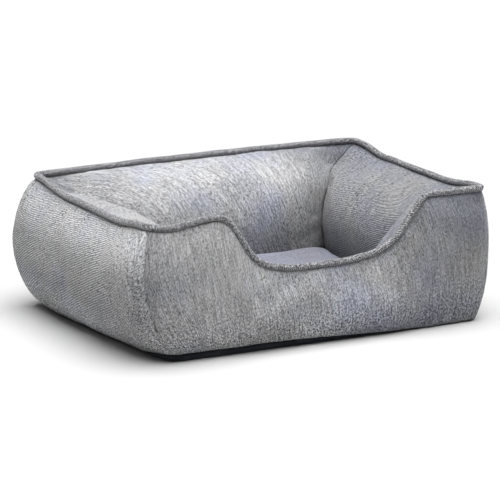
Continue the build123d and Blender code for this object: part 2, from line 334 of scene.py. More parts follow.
def outer_point(wall, sigma, share):
    """A point on a wall's outer face: sigma -1 to 1 along it, share 0 at the foot to 1 at the rim."""
    corner_swell = wall.between_corners("swell", sigma)
    swell_radius = wall.between_corners("swell_radius", sigma)
    foot_radius = wall.between_corners("foot_radius", sigma)
    rim_radius = wall.between_corners("rim_radius", sigma)
    margin = wall.between_corners("margin", sigma)
    swell = math.sin(math.pi * share ** SWELL_HEIGHT_POWER) ** SWELL_POWER
    corner_out = corner_swell * swell - margin * (1 - share) ** MARGIN_POWER
    plain_radius = foot_radius + (rim_radius - foot_radius) * share
    radius = plain_radius + (swell_radius - plain_radius) * swell
    along, out = rounded_end(wall.half, corner_out, radius, sigma)
    middle = 1 - abs(sigma) ** MIDDLE_POWER
    top = wall.height(along) - RIM_DROP
    foot = foot_height(wall, sigma)
    tall = (top - foot) / (RIM_Z - BASE_TOP)
    middle_swell = max(0.0, wall.bulge - corner_swell) * (LOW_SWELL + (1 - LOW_SWELL) * tall)
    out += middle_swell * swell * middle
    out += wall.foot_bow * (1 - share) ** 2 * middle
    to_corner = (1 - abs(sigma)) * wall.half
    pinch = CORNER_PINCH * math.exp(-(to_corner / CORNER_PINCH_REACH) ** 2) * swell
    along -= math.copysign(pinch, sigma)
    out -= pinch
    return leaned(wall.place(along, out, foot + share * (top - foot)))


def leaned(point):
    """The foot of the left end stands further in towards the front."""
    low = max(0.0, 1 - point[2] / (LEAN_TOP_SHARE * RIM_Z)) ** LEAN_POWER
    at_end = smooth_step(-point[0], LEAN_START, LEAN_SPAN)
    point[0] += LEAN_SLOPE * max(0.0, LEAN_BACK - point[1]) * low * at_end
    return point


def crown_power(wall, along):
    """High over a full-height wall, low, nearly a straight slope, along the entry."""
    if wall.name != "front":
        return CROWN_POWER
    return ENTRY_POWER + ENTRY_POWER_RISE * smooth_step(abs(along), ENTRY_HALF, ENTRY_BLEND)


def inner_top(wall, sigma, along):
    """Height of the inner face's upper edge; near a corner it is the corner's own height."""
    to_corner = abs(sigma) ** CORNER_POWER
    top = wall.height(along) * (1 - to_corner) + wall.height(sigma * wall.half) * to_corner
    return top - RIM_DROP


def inner_height(wall, sigma, along, share, top, across):
    """Height of a point of the inner face: over a rounded crown, then straight down."""
    shoulder = BASE_TOP + SHOULDER_SHARE * (top - BASE_TOP)
    if share > CROWN_SHARE:
        return shoulder + (BASE_TOP - shoulder) * (share - CROWN_SHARE) / (1 - CROWN_SHARE)
    to_corner = abs(sigma) ** CORNER_POWER
    power = crown_power(wall, along) * (1 - to_corner) + CROWN_POWER * to_corner
    return shoulder + (top - shoulder) * max(0.0, 1 - across ** power) ** (1 / power)


def crease_sink(wall, share, to_crease):
    """How far the cloth sinks towards an inner corner seam that is to_crease away."""
    sink = CREASE_DEPTH * smooth_step(share, 0, CREASE_START)
    sink *= 1 - CREASE_EASING * smooth_step(share, 0.5, 0.3)
    reach = END_CREASE_REACH if wall.inner is END_INNER else CREASE_REACH
    reach += POCKET * (1 - smooth_step(share, 0, UNDER_PIPING))
    return sink * math.exp(-(to_crease / reach) ** CREASE_POWER)


def pressed_in(point, share, to_crease):
    """The ends' bolsters press the corner seams towards the middle of the bed."""
    pressed = math.exp(-(to_crease / CREASE_SHIFT_REACH) ** 2) * smooth_step(share, 0, CREASE_START)
    pressed *= 1 - smooth_step(share, 0.55, 0.4)
    shift = CREASE_SHIFT + CREASE_LEAN * (1 - smooth_step(share, 0, UNDER_PIPING))
    point[0] -= math.copysign(shift * pressed, point[0])
    return point


def inner_point(wall, sigma, share):
    """A point on a wall's inner face: share 0 at the rim, over the crown, to 1 at the foot."""
    angle = 0.5 * math.pi * min(1.0, share / CROWN_SHARE)
    across = math.sin(angle) ** REACH_POWER
    over_cushion = math.sin(math.pi * min(1.0, share / SWELL_END)) ** REACH_POWER
    reach, next_reach = (depth * across + swell * over_cushion
                         for depth, swell in (wall.inner, wall.next_inner))
    along = sigma * (wall.half - next_reach)
    top = inner_top(wall, sigma, along)
    height = inner_height(wall, sigma, along, share, top, across)
    out = -reach
    full = (1 - abs(sigma) ** 3) * smooth_step(top, *FULL_HEIGHT)
    out -= FULLNESS * over_cushion * full
    height += FULLNESS * full * math.sin(math.pi * min(1.0, share / 0.5))
    to_crease = (1 - abs(sigma)) * (wall.half - next_reach)
    sink = crease_sink(wall, share, to_crease)
    level = math.sin(angle) / math.sqrt(2)
    along += math.copysign(sink * level, sigma)
    out += sink * level
    height -= sink * math.cos(angle)
    if share < RIM_SHARE:
        radius = wall.between_corners("rim_radius", sigma)
        rim_along, rim_out = rounded_end(wall.half, 0.0, radius, sigma)
        near_rim = 1 - smooth_step(share, 0, RIM_SHARE)
        along += (rim_along - sigma * wall.half) * near_rim
        out += rim_out * near_rim
    return pressed_in(wall.place(along, out, height), share, to_crease)


def column_points(wall, sigma):
    """One closed section: up the outer face, over the rim, down the inner face, back under."""
    points = [outer_point(wall, sigma, row / OUTER_ROWS) for row in range(OUTER_ROWS)]
    points += [inner_point(wall, sigma, row / INNER_ROWS) for row in range(INNER_ROWS + 1)]
    first, last = points[0], points[-1]
    for row in range(1, UNDER_ROWS):
        points.append(last + (first - last) * row / UNDER_ROWS)
    return points


def build_ring():
    """All four walls as one closed tube, and the number of each wall's first column."""
    points = []
    firsts = []
    for wall in WALLS:
        firsts.append(len(points) // RING_ROWS)
        for column in range(wall.columns):
            points += column_points(wall, -1 + 2 * column / wall.columns)
    columns = len(points) // RING_ROWS
    faces = [(a, d, c, b) for a, b, c, d in band_faces(columns, RING_ROWS, closed=True)]
    return np.array(points), faces, firsts


def seam_weights(columns, firsts):
    """How firmly each point of the ring is held while it fills: 1 on the seams."""
    weights = np.zeros((columns, RING_ROWS))
    weights[:, 0] = 1
    weights[:, OUTER_ROWS] = 1
    weights[:, OUTER_ROWS + INNER_ROWS:] = 1
    weights[firsts, OUTER_ROWS:] = 1
    weights[firsts, :OUTER_ROWS] = OUTER_SEAM_HOLD
    return weights.ravel()


CLOTH = {
    "quality": 6,
    "mass": 0.25,
    "tension_stiffness": 18,
    "compression_stiffness": 18,
    "shear_stiffness": 8,
    "tension_damping": 8,
    "compression_damping": 8,
    "use_pressure": True,
    "vertex_group_mass": "seams",
    "pin_stiffness": 1.0,
}


def inflate(piece, weights, pressure, slack, frames, bending):
    """Fills a closed cover: a cloth run with pressure, whose movement is capped and kept."""
    start = coordinates(piece.data)
    group = piece.vertex_groups.new(name="seams")
    for index in np.nonzero(weights)[0]:
        group.add([int(index)], float(weights[index]), "REPLACE")
    cloth = piece.modifiers.new("fill", "CLOTH")
    for setting, value in CLOTH.items():
        setattr(cloth.settings, setting, value)
    cloth.settings.bending_stiffness = bending
    cloth.settings.uniform_pressure_force = pressure
    cloth.settings.shrink_min = -slack
    cloth.settings.effector_weights.gravity = 0
    cloth.collision_settings.use_collision = False
    cloth.point_cache.frame_end = frames
    scene = bpy.context.scene
    for step in range(1, frames + 1):
        scene.frame_set(step)
    graph = bpy.context.evaluated_depsgraph_get()
    filled = coordinates(piece.evaluated_get(graph).data)
    piece.modifiers.clear()
    piece.vertex_groups.clear()
    scene.frame_set(1)
    move = filled - start
    length = np.maximum(np.linalg.norm(move, axis=1, keepdims=True), 1e-9)
    set_coordinates(piece.data, start + move / length * FILL_CAP * np.tanh(length / FILL_CAP))


def fill_ring():
    """The filled walls as a grid of points (columns, rows), and each wall's first column."""
    points, faces, firsts = build_ring()
    ring = new_mesh("ring", points, faces)
    columns = len(points) // RING_ROWS
    inflate(ring, seam_weights(columns, firsts), pressure=2.2, slack=0.015, frames=22,
            bending=0.6)
    filled = coordinates(ring.data).reshape(columns, RING_ROWS, 3)
    bpy.data.objects.remove(ring)
    return filled, firsts


def running_lengths(grid, axis):
    """Distance along a grid of points, in metres, for the cloth's own coordinates."""
    steps = np.linalg.norm(np.diff(grid, axis=axis), axis=2)
    total = np.cumsum(steps, axis=axis)
    start = np.zeros_like(np.take(total, [0], axis=axis))
    return np.concatenate([start, total], axis=axis)


def subdivide(piece):
    smoother = piece.modifiers.new("smooth", "SUBSURF")
    smoother.levels = smoother.render_levels = 1
    smoother.boundary_smooth = "PRESERVE_CORNERS"
    apply_modifiers(piece)


def panel_from_grid(name, grid):
    """A sewn panel from a grid of points (columns, rows), with a cloth map in metres."""
    columns, rows = grid.shape[:2]
    piece = new_mesh(name, grid.reshape(-1, 3), grid_faces(columns, rows))
    middle_row = running_lengths(grid, 0)[:, rows // 2]
    down = running_lengths(grid, 1)
    across = np.repeat((middle_row - middle_row.mean())[:, None], rows, axis=1)
    layer = piece.data.uv_layers.new(name="cloth")
    corner_points = np.zeros(len(piece.data.loops), int)
    piece.data.loops.foreach_get("vertex_index", corner_points)
    both = np.stack([across.ravel(), down.ravel()], 1)[corner_points]
    layer.data.foreach_set("uv", both.ravel())
    subdivide(piece)
    return piece


def displace_cloth(piece, move):
    """Moves each point of a piece along its normal by move(point)."""
    mesh = piece.data
    points = coordinates(mesh)
    normals = np.zeros(points.size)
    mesh.vertices.foreach_get("normal", normals)
    amount = np.array([move(point) for point in points])
    set_coordinates(mesh, points + normals.reshape(-1, 3) * amount[:, None])


def thicken(piece, thickness):
    solid = piece.modifiers.new("thickness", "SOLIDIFY")
    solid.thickness = thickness
    solid.offset = -1
    apply_modifiers(piece)
    piece.data.shade_smooth()


# ---- materials
class Nodes:
    """A short way to write a node material."""

    def __init__(self, name):
        self.material = bpy.data.materials.new(name)
        self.material.use_nodes = True
        self.tree = self.material.node_tree
        self.tree.nodes.clear()
        output = self.add("ShaderNodeOutputMaterial")
        self.shader = self.add("ShaderNodeBsdfPrincipled")
        self.link(self.shader.outputs[0], output.inputs[0])

    def add(self, kind, **values):
        """A new node; each value goes to its property or else to its input of that name."""
        node = self.tree.nodes.new(kind)
        for key, value in values.items():
            if hasattr(node, key):
                setattr(node, key, value)
            else:
                node.inputs[key.replace("_", " ")].default_value = value
        return node

    def link(self, source, target):
        self.tree.links.new(source, target)

    def feed(self, value, socket):
        """Sets a number or a colour on a socket, or links a node's output to it."""
        if isinstance(value, (int, float)):
            socket.default_value = value
        elif isinstance(value, tuple):
            socket.default_value = (*value, 1)
        else:
            self.link(value, socket)

    def cloth_map(self, scale_u, scale_v, skew=0.0):
        """Coordinates along and down the cloth, first turned by skew, then in units of a thread."""
        uv = self.add("ShaderNodeUVMap", uv_map="cloth")
        mapping = self.add("ShaderNodeMapping", vector_type="TEXTURE", Rotation=(0, 0, skew),
                           Scale=(1 / scale_u, 1 / scale_v, 1))
        self.link(uv.outputs[0], mapping.inputs["Vector"])
        return mapping.outputs[0]

    def object_map(self):
        return self.add("ShaderNodeTexCoord").outputs["Object"]

    def noise(self, where, scale, detail=2.0, roughness=0.5, distortion=0.0):
        node = self.add("ShaderNodeTexNoise", Scale=scale, Detail=detail,
                        Roughness=roughness, Distortion=distortion)
        self.link(where, node.inputs["Vector"])
        return node.outputs[0]

    def ribs(self, where, direction, scale, distortion=1.0, detail=1.0):
        node = self.add("ShaderNodeTexWave", bands_direction=direction, Scale=scale,
                        Distortion=distortion, Detail=detail)
        self.link(where, node.inputs["Vector"])
        return node.outputs["Fac"]

    def ramp(self, source, stops):
        node = self.add("ShaderNodeValToRGB")
        elements = node.color_ramp.elements
        while len(elements) > 1:
            elements.remove(elements[-1])
        elements[0].position, elements[0].color = stops[0][0], (*stops[0][1], 1)
        for position, colour in stops[1:]:
            elements.new(position).color = (*colour, 1)
        self.link(source, node.inputs[0])
        return node.outputs[0]

    def grey_ramp(self, source, low, high, low_value=0.0, high_value=1.0):
        """Maps low to low_value and high to high_value, and holds them beyond."""
        node = self.add("ShaderNodeMapRange", From_Min=low, From_Max=high,
                        To_Min=low_value, To_Max=high_value)
        self.link(source, node.inputs["Value"])
        return node.outputs[0]

    def mix(self, factor, first, second, blend="MIX"):
        node = self.add("ShaderNodeMix", data_type="RGBA", blend_type=blend)
        self.feed(factor, node.inputs[0])
        self.feed(first, node.inputs[6])
        self.feed(second, node.inputs[7])
        return node.outputs[2]

    def maths(self, operation, first, *others):
        """Each value in turn is added to, taken from or multiplied with the ones before it."""
        result = first
        for other in others:
            node = self.add("ShaderNodeMath", operation=operation)
            self.feed(result, node.inputs[0])
            self.feed(other, node.inputs[1])
            result = node.outputs[0]
        return result

    def bump(self, height, distance, strength=1.0):
        node = self.add("ShaderNodeBump", Strength=strength, Distance=distance)
        self.link(height, node.inputs["Height"])
        self.link(node.outputs[0], self.shader.inputs["Normal"])

    def finish(self, colour, roughness=0.9, sheen=0.0, specular=0.2, metallic=0.0):
        looks = {"Base Color": colour, "Roughness": roughness, "Metallic": metallic,
                 "Sheen Weight": sheen, "Sheen Roughness": SHEEN_ROUGHNESS,
                 "Specular IOR Level": specular}
        for name, value in looks.items():
            self.feed(value, self.shader.inputs[name])
        return self.material


TWILL_ANGLE = 0.43              # turn of the diagonal weave of the two ends, in radians
TWILL_THREADS = (190, 620)      # its dashes per metre, along and down the cloth
RIB_THREADS = (720, 150)        # the same for the plain ribs
MEAN_HEIGHT = 0.94              # average of the weave's relief
PAINTED_SHADING_TOP = 0.25            # highest point that painted shading by height can be given for, in metres
PAINTED_SHADING_RANGE = 2.0              # brightest value of painted shading by height
BIAS = 0.6                      # turn of the piping's cloth, in radians
SHEEN_ROUGHNESS = 0.45


def weave_height(nodes, place, patches, skew, twill):
    """Relief of the ribbed cloth: fuzz, long streaks, ribs, and diagonal lines if twilled."""
    fuzz = nodes.noise(nodes.cloth_map(480, 270), 1.0, detail=2.0, roughness=0.65)
    streaks = nodes.noise(nodes.cloth_map(330, 24, skew), 1.0, detail=2.0)
    ribs = nodes.ribs(nodes.cloth_map(1, 1, skew), "X", 140, distortion=2.5, detail=2.0)
    lines = nodes.ribs(nodes.cloth_map(1, 1, TWILL_ANGLE), "Y", 84, distortion=2.0, detail=1.5)
    lines = nodes.maths("MULTIPLY", nodes.maths("SUBTRACT", lines, 0.5),
                        nodes.grey_ramp(patches, 0.35, 0.6, 0.3, 1.2),
                        nodes.grey_ramp(place["Y"], -0.20, -0.12),
                        nodes.grey_ramp(place["Z"], 0.03, 0.08),
                        twill)
    return nodes.maths("ADD", fuzz, nodes.maths("MULTIPLY", streaks, 0.7),
                       nodes.maths("MULTIPLY", ribs, 0.18), lines)


def weave_scores(nodes, patches, near_floor, grain, skew, dashes):
    """Short dark dashes along the grain, and coarser specks near the floor."""
    drift = nodes.maths("MULTIPLY", nodes.maths("SUBTRACT", patches, 0.5), 0.22)
    field = nodes.noise(nodes.cloth_map(*grain), 1.0, detail=2.0, roughness=0.55, distortion=0.5)
    scores = nodes.grey_ramp(nodes.maths("ADD", field, drift), 0.36, 0.48, dashes, 0.0)
    specks = nodes.noise(nodes.cloth_map(310, 230, skew), 1.0, detail=1.0)
    specks = nodes.maths("MULTIPLY", nodes.grey_ramp(specks, 0.40, 0.52, 0.95, 0.0), near_floor)
    return nodes.maths("MAXIMUM", scores, specks)


def cool_bloom(nodes, colour, where, place, blue):
    """The colour with a cool tint in broad patches, more of it towards the right."""
    tint = nodes.noise(where, 11.0, detail=3.0)
    tint = nodes.maths("ADD", tint, nodes.grey_ramp(place["X"], -0.2, 0.33, -0.07, 0.09))
    bloom = nodes.grey_ramp(tint, 0.42, 0.70, 0.0, 0.85)
    return nodes.mix(bloom, colour, nodes.mix(1.0, colour, blue, "MULTIPLY"))


def patchy_tone_and_painted_shading(nodes, colour, place, patches, painted_shading):
    """The colour darkened by wear in patches, with painted shade to the right and painted light and
    shade by height.
    """
    heights = nodes.maths("MULTIPLY", place["Z"], 1 / PAINTED_SHADING_TOP)
    stops = [(height / PAINTED_SHADING_TOP, (share / PAINTED_SHADING_RANGE,) * 3) for height, share in painted_shading]
    shade = nodes.maths("MULTIPLY", nodes.grey_ramp(patches, 0.35, 0.68, 0.92, 1.03),
                        # painted shade: darker towards the right end
                        nodes.grey_ramp(place["X"], -0.02, 0.33, 1.0, 0.60),
                        # painted light and shade by height
                        nodes.maths("MULTIPLY", nodes.ramp(heights, stops), PAINTED_SHADING_RANGE))
    grey = nodes.add("ShaderNodeCombineColor")
    for socket in grey.inputs[:3]:
        nodes.link(shade, socket)
    return nodes.mix(1.0, colour, grey.outputs[0], "MULTIPLY")


def slub_weave(name, greys, blue, skew=0.15, twill=0.0, dashes=1.0, knots=1.0,
               painted_shading=((0.0, 1.0),)):
    """Chenille-like upholstery: fine uneven ribs, scored by short dark dashes that crowd together
    near the floor, with a cool bloom in places. The shading by height is painted light and shade,
    given as brightness at heights in metres."""
    dark, low, high = greys
    nodes = Nodes(name)
    where = nodes.object_map()
    split = nodes.add("ShaderNodeSeparateXYZ")
    nodes.link(where, split.inputs[0])
    place = split.outputs
    near_floor = nodes.grey_ramp(place["Z"], 0.03, 0.11, knots, 0.0)
    patches = nodes.noise(where, 8.0, detail=3.0)
    grain = (*TWILL_THREADS, TWILL_ANGLE) if twill else (*RIB_THREADS, skew)
    height = weave_height(nodes, place, patches, skew, twill)
    scores = weave_scores(nodes, patches, near_floor, grain, skew, dashes)
    tone = nodes.maths("MULTIPLY", nodes.maths("SUBTRACT", height, MEAN_HEIGHT),
                       nodes.maths("ADD", near_floor, 1.0))
    colour = nodes.ramp(nodes.grey_ramp(tone, -0.20, 0.20), [(0.0, low), (1.0, high)])
    colour = nodes.mix(scores, colour, dark)
    colour = cool_bloom(nodes, colour, where, place, blue)
    colour = patchy_tone_and_painted_shading(nodes, colour, place, patches, painted_shading)
    nodes.bump(nodes.maths("SUBTRACT", height, nodes.maths("MULTIPLY", scores, 0.5)), 1.6 * MM)
    rough = nodes.grey_ramp(height, MEAN_HEIGHT - 0.3, MEAN_HEIGHT + 0.3, 0.96, 0.8)
    return nodes.finish(colour, rough, sheen=0.2)


def piping_weave():
    """The same cloth cut on the bias and wrapped round the cord."""
    nodes = Nodes("piping_weave")
    hatch = nodes.ribs(nodes.cloth_map(1, 1, BIAS), "X", 105, distortion=2.2, detail=2.0)
    dashes = nodes.noise(nodes.cloth_map(360, 300, BIAS), 1.0, detail=2.0, distortion=0.5)
    height = nodes.maths("ADD", nodes.maths("MULTIPLY", hatch, 0.25), dashes)
    shade = nodes.grey_ramp(height, 0.46, 0.80)
    colour = nodes.ramp(shade, [(0.0, (0.010, 0.010, 0.012)), (0.5, (0.125, 0.125, 0.13)),
                                (1.0, (0.41, 0.41, 0.43))])
    nodes.bump(height, 1.0 * MM)
    return nodes.finish(colour, sheen=0.2)


def base_weave():
    """Dark, smooth base cloth with a fine plain weave and some dust."""
    nodes = Nodes("base_weave")
    where = nodes.object_map()
    threads = [nodes.ribs(where, direction, 260, distortion=0.4) for direction in ("X", "Y")]
    height = nodes.maths("MULTIPLY", *threads)
    dust = nodes.noise(where, 40.0, detail=4.0)
    colour = nodes.ramp(nodes.maths("ADD", nodes.maths("MULTIPLY", height, 0.35), dust),
                        [(0.35, (0.008, 0.010, 0.014)), (0.8, (0.022, 0.026, 0.034)),
                         (1.0, (0.05, 0.055, 0.065))])
    nodes.bump(height, 0.25 * MM, 0.6)
    return nodes.finish(colour, 0.75, sheen=0.1)


def felted(name, base, variation, grain_scale, bump_depth):
    """Felted or closely woven stuff: the lining, the zip's tape."""
    nodes = Nodes(name)
    fibres = nodes.noise(nodes.object_map(), grain_scale, detail=5.0, roughness=0.7,
                         distortion=1.2)
    dark = tuple(channel * (1 - variation) for channel in base)
    colour = nodes.ramp(fibres, [(0.3, dark), (0.7, base)])
    nodes.bump(fibres, bump_depth, 0.7)
    return nodes.finish(colour, 0.95, sheen=0.15)


def hard_part(name, base, roughness, metallic):
    """Moulded nylon or painted metal with fine wear."""
    nodes = Nodes(name)
    wear_marks = nodes.noise(nodes.object_map(), 420.0, detail=4.0)
    dark = tuple(channel * 0.7 for channel in base)
    colour = nodes.ramp(wear_marks, [(0.3, dark), (0.65, base)])
    rough = nodes.grey_ramp(wear_marks, 0.3, 0.7, roughness, roughness + 0.2)
    nodes.bump(wear_marks, 0.05 * MM, 0.4)
    return nodes.finish(colour, rough, specular=0.5, metallic=metallic)


GREYS = ((0.05, 0.05, 0.053), (0.20, 0.20, 0.204), (0.56, 0.56, 0.565))
BLUISH = (0.82, 0.86, 1.04)
CUSHION_GREYS = ((0.04, 0.041, 0.052), (0.14, 0.143, 0.18), (0.26, 0.265, 0.32))
# painted shading by height: lighter near the floor, and painted shade higher up the front and back
# walls
OUTER_CLOTH = slub_weave("outer_weave", GREYS, BLUISH, dashes=0.75,
                         painted_shading=((0.04, 1.24), (0.10, 0.85), (0.16, 0.68)))
# painted shading by height: painted light at the foot and the top of the two ends, painted shade
# between
END_CLOTH = slub_weave("end_weave", GREYS, BLUISH, twill=1.2, dashes=1.0,
                       painted_shading=((0.03, 1.55), (0.08, 1.05), (0.14, 0.96), (0.19, 1.45)))
# painted shade low on the bolsters, where they meet the cushion
INNER_PAINTED_SHADING = ((0.085, 0.66), (0.14, 0.98), (0.19, 1.05))
INNER_CLOTH = slub_weave("bolster_weave", GREYS, BLUISH, skew=0.32, dashes=0.75,
                         painted_shading=INNER_PAINTED_SHADING)
INNER_END_CLOTH = slub_weave("end_bolster_weave", GREYS, BLUISH, twill=0.9, dashes=0.9,
                             painted_shading=INNER_PAINTED_SHADING)
CUSHION_CLOTH = slub_weave("cushion_weave", CUSHION_GREYS, (0.92, 0.95, 1.05), dashes=0.6,
                           knots=0.0)
PIPING_CLOTH = piping_weave()
BASE_CLOTH = base_weave()
LINING = felted("lining_felt", (0.55, 0.55, 0.56), 0.25, 500.0, 0.2 * MM)
ZIP_TAPE = felted("zip_tape", (0.26, 0.26, 0.29), 0.3, 900.0, 0.15 * MM)
ZIP_NYLON = hard_part("zip_nylon", (0.22, 0.22, 0.25), 0.4, 0.0)
ZIP_METAL = hard_part("zip_metal", (0.30, 0.30, 0.32), 0.35, 0.9)


def wear(piece, material):
    piece.data.materials.clear()
    piece.data.materials.append(material)


# ---- wall panels
def make_panels(filled, firsts):
    """Cuts each wall's outer cover and bolster cover out of the filled ring."""
    for wall, first in zip(WALLS, firsts):
        picked = filled[[(first + step) % len(filled) for step in range(wall.columns + 1)]]
        outer = panel_from_grid(f"outer_cover_{wall.name}", picked[:, :OUTER_ROWS + 1])
        inner = panel_from_grid(f"bolster_cover_{wall.name}",
                                picked[:, OUTER_ROWS:OUTER_ROWS + INNER_ROWS + 1])
        for piece in (outer, inner):
            displace_cloth(piece, small_wrinkles)
            thicken(piece, PANEL_THICKNESS)
            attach(piece, "bed")
        at_end = wall.name in ("left", "right")
        wear(outer, END_CLOTH if at_end else OUTER_CLOTH)
        wear(inner, INNER_END_CLOTH if at_end else INNER_CLOTH)
        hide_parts(f"outer_panel_{wall.name}")
        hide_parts(f"inner_panel_{wall.name}", f"bolster_fill_{wall.name}")


def small_wrinkles(point):
    """Shallow unevenness of a soft filling, in metres along the normal."""
    spot = Vector(point)
    broad = noise.noise(spot * 14.0) * 1.3 * MM
    fine = noise.noise(spot * 42.0 + Vector((3, 7, 1))) * 0.5 * MM
    return broad + fine


# ---- tubes and small solids
THREAD_SIDES = 5
THREAD_SIDE = np.array([0.31, 0.0, 0.95])   # any direction that is never along a thread


def unit(rows):
    return rows / np.linalg.norm(rows, axis=1, keepdims=True)


def crosswise(ahead, reference):
    """Two unit directions square to each step of a line, the first one square to the reference."""
    ahead = unit(ahead)
    side = unit(np.cross(ahead, reference))
    return side, np.cross(side, ahead)


def thread(line, radius):
    """Points and faces of a thin open tube along a line that runs roughly along X."""
    line = np.asarray(line, float)
    side, up = crosswise(np.gradient(line, axis=0), THREAD_SIDE)
    angles = 2 * math.pi * np.arange(THREAD_SIDES) / THREAD_SIDES
    ring = (side[:, None] * np.cos(angles)[None, :, None]
            + up[:, None] * np.sin(angles)[None, :, None])
    points = (line[:, None] + radius * ring).reshape(-1, 3)
    return points, tube_faces(len(line), THREAD_SIDES)


def joined(name, solids):
    """One object from several (points, faces) solids."""
    points = []
    faces = []
    for some_points, some_faces in solids:
        shift = len(points)
        points += [tuple(point) for point in some_points]
        faces += [tuple(index + shift for index in face) for face in some_faces]
    return new_mesh(name, points, faces)


def bevelled_boxes(name, boxes, rounding):
    """One object from several (low corner, high corner) boxes with rounded edges."""
    shape = bmesh.new()
    for low, high in boxes:
        low, high = Vector(low), Vector(high)
        for vertex in bmesh.ops.create_cube(shape, size=1)["verts"]:
            share = vertex.co + Vector((0.5, 0.5, 0.5))
            vertex.co = [low[i] + share[i] * (high[i] - low[i]) for i in range(3)]
    bmesh.ops.bevel(shape, geom=shape.edges[:], offset=rounding, segments=3, profile=0.5,
                    affect="EDGES")
    mesh = bpy.data.meshes.new(name)
    shape.to_mesh(mesh)
    shape.free()
    mesh.shade_smooth()
    return new_object(name, mesh)


# ---- piping
PIPING_SIDES = 14
PIPING_STEP = 2.6 * MM
PIPING_UNEVEN = 0.05            # share by which its radius varies
PIPING_SWAY = 0.9 * MM          # how far it strays from its line


def even_loop(points, step):
    """A closed line with evenly spaced points."""
    closed = np.vstack([points, points[:1]])
    lengths = np.concatenate([[0], np.cumsum(np.linalg.norm(np.diff(closed, axis=0), axis=1))])
    count = int(round(lengths[-1] / step))
    marks = np.linspace(0, lengths[-1], count, endpoint=False)
    return np.stack([np.interp(marks, lengths, closed[:, axis]) for axis in range(3)], 1)


def smooth_loop(points, passes):
    for _ in range(passes):
        points = 0.5 * points + 0.25 * (np.roll(points, 1, 0) + np.roll(points, -1, 0))
    return points


def make_piping(seam):
    """The piping: a slightly uneven closed tube along the top of the walls' seam."""
    line = smooth_loop(even_loop(seam + np.array([0, 0, RIM_DROP]), PIPING_STEP), 4)
    count = len(line)
    side, up = crosswise(np.roll(line, -1, 0) - np.roll(line, 1, 0), np.array([0.0, 0.0, 1.0]))
    points = []
    for index in range(count):
        spot = Vector(line[index])
        radius = PIPING_RADIUS * (1 + PIPING_UNEVEN * noise.noise(spot * 60))
        sway = side[index] * noise.noise(spot * 22) + up[index] * noise.noise(spot * 19)
        for turn in range(PIPING_SIDES):
            angle = 2 * math.pi * turn / PIPING_SIDES
            round_off = side[index] * math.cos(angle) + up[index] * math.sin(angle)
            points.append(line[index] + sway * PIPING_SWAY + round_off * radius)
    piece = new_mesh("rim_piping_cover", points, band_faces(count, PIPING_SIDES, closed=True))
    layer = piece.data.uv_layers.new(name="cloth")
    side_width = 2 * math.pi * PIPING_RADIUS / PIPING_SIDES
    for polygon in piece.data.polygons:
        index, turn = divmod(polygon.index, PIPING_SIDES)
        corners = ((index, turn), (index, turn + 1), (index + 1, turn + 1), (index + 1, turn))
        for loop, (step, around) in zip(polygon.loop_indices, corners):
            layer.data[loop].uv = (step * PIPING_STEP, around * side_width)
    wear(piece, PIPING_CLOTH)
    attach(piece, "bed")
    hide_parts("rim_piping", "rim_piping_cord")


# ---- base
CORNER_STEPS = 12


def rounded_outline(half_x, half_y, radius, step):
    """A rounded rectangle as evenly spaced points, counter-clockwise from above."""
    points = []
    corners = [(1, -1, -90), (1, 1, 0), (-1, 1, 90), (-1, -1, 180)]
    for side_x, side_y, start in corners:
        centre = np.array([side_x * (half_x - radius), side_y * (half_y - radius)])
        for index in range(CORNER_STEPS + 1):
            angle = math.radians(start + 90 * index / CORNER_STEPS)
            points.append([*(centre + radius * np.array([math.cos(angle), math.sin(angle)])), 0])
    return even_loop(np.array(points), step)


def straight_out(outline, index):
    """The level direction out of an outline at one of its points."""
    tangent = outline[(index + 1) % len(outline)] - outline[index - 1]
    return np.array([tangent[1], -tangent[0], 0]) / np.linalg.norm(tangent)


BASE_BOW = 3.0 * MM             # how far the middle of each side bows out
BASE_PROFILE = [                # outwards and up, from the underside to the turned-up edge
    (-3.0 * MM, 0.0),
    (-0.6 * MM, 1.2 * MM),
    (0.0, 4 * MM),
    (0.4 * MM, 8 * MM),
    (-0.6 * MM, 11.4 * MM),
    (-4 * MM, 12.2 * MM),
]


def make_base():
    """The dark base cloth: a flat underside turned up round the edge of the pad."""
    foot_x = RIM_X - BASE_MARGIN
    foot_y = RIM_Y - BASE_MARGIN
    outline = rounded_outline(foot_x, foot_y, BASE_CORNER, 6 * MM)
    count = len(outline)
    points = []
    for out, height in BASE_PROFILE:
        for index, spot in enumerate(outline):
            along = spot[0] / foot_x if abs(spot[1]) > foot_y - 1 * MM else spot[1] / foot_y
            bow = BASE_BOW * max(0.0, 1 - abs(along) ** MIDDLE_POWER)
            wave = noise.noise(Vector(spot) * 30) * 0.5 * MM
            move = straight_out(outline, index) * (out + bow + wave)
            points.append(leaned(spot + move + np.array([0, 0, height])))
    piece = new_mesh("base_cover", points, tube_faces(len(BASE_PROFILE), count))
    wear(piece, BASE_CLOTH)
    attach(piece, "bed")
    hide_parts("base_cloth", "base_pad")


# ---- floor lining
LINING_MARGIN = 16.0 * MM       # the lining ends this far inside the piping
LINING_THICKNESS = 0.8 * MM
LINING_Z = 12.5 * MM
LINING_CORNER = 22.0 * MM
LINING_SHARES = [1.0, 0.97, 0.9, 0.8, 0.68, 0.55, 0.42, 0.29, 0.16]


def make_lining():
    """Felt laid on the base under the cushion, a little wavy."""
    half_x = RIM_X - LINING_MARGIN
    half_y = RIM_Y - LINING_MARGIN
    outline = rounded_outline(half_x, half_y, LINING_CORNER, 12 * MM)
    count = len(outline)
    points = []
    for share in LINING_SHARES:
        for spot in outline:
            wave = 0.4 * MM * (1 + noise.noise(Vector(spot * share) * 18))
            flat = leaned(np.array([spot[0] * share, spot[1] * share, 0.0]))
            points.append((flat[0], flat[1], LINING_Z + wave))
    rings = len(LINING_SHARES)
    faces = band_faces(rings, count) + [last_cap(rings, count)]
    piece = new_mesh("floor_lining_sheet", points, faces)
    thicken(piece, LINING_THICKNESS)
    wear(piece, LINING)
    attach(piece, "bed")
    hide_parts("floor_lining")


